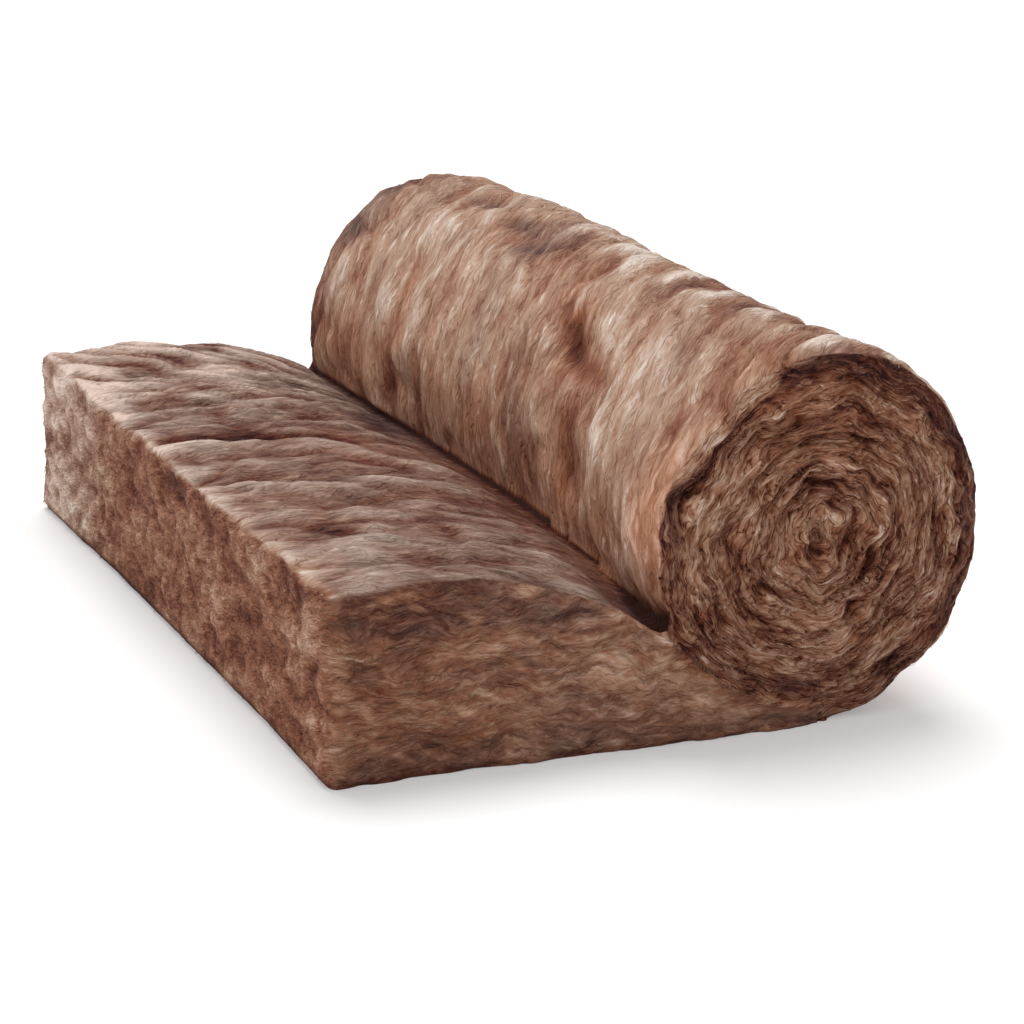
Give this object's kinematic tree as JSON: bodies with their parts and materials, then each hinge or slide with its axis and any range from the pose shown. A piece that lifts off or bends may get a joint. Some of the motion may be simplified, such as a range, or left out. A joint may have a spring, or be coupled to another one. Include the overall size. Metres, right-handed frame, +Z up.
{
  "type": "insulation roll",
  "caption": "Coreless roll of brown mineral wool blanket, its free end unrolled flat and lofted to full height; cut to length and laid between joists as thermal insulation.",
  "frame": {"origin": "on the floor, in the middle of the length and of the width", "axes": "+X along the blanket from its free end to the roll, +Y along the roll's axis, +Z up"},
  "size_m": [0.752, 1.14, 0.412],
  "materials": {
    "wool": "matte, matted brown mineral fibres"
  },
  "bodies": {
    "root": {"blanket": "wool"}
  },
  "joints": []
}
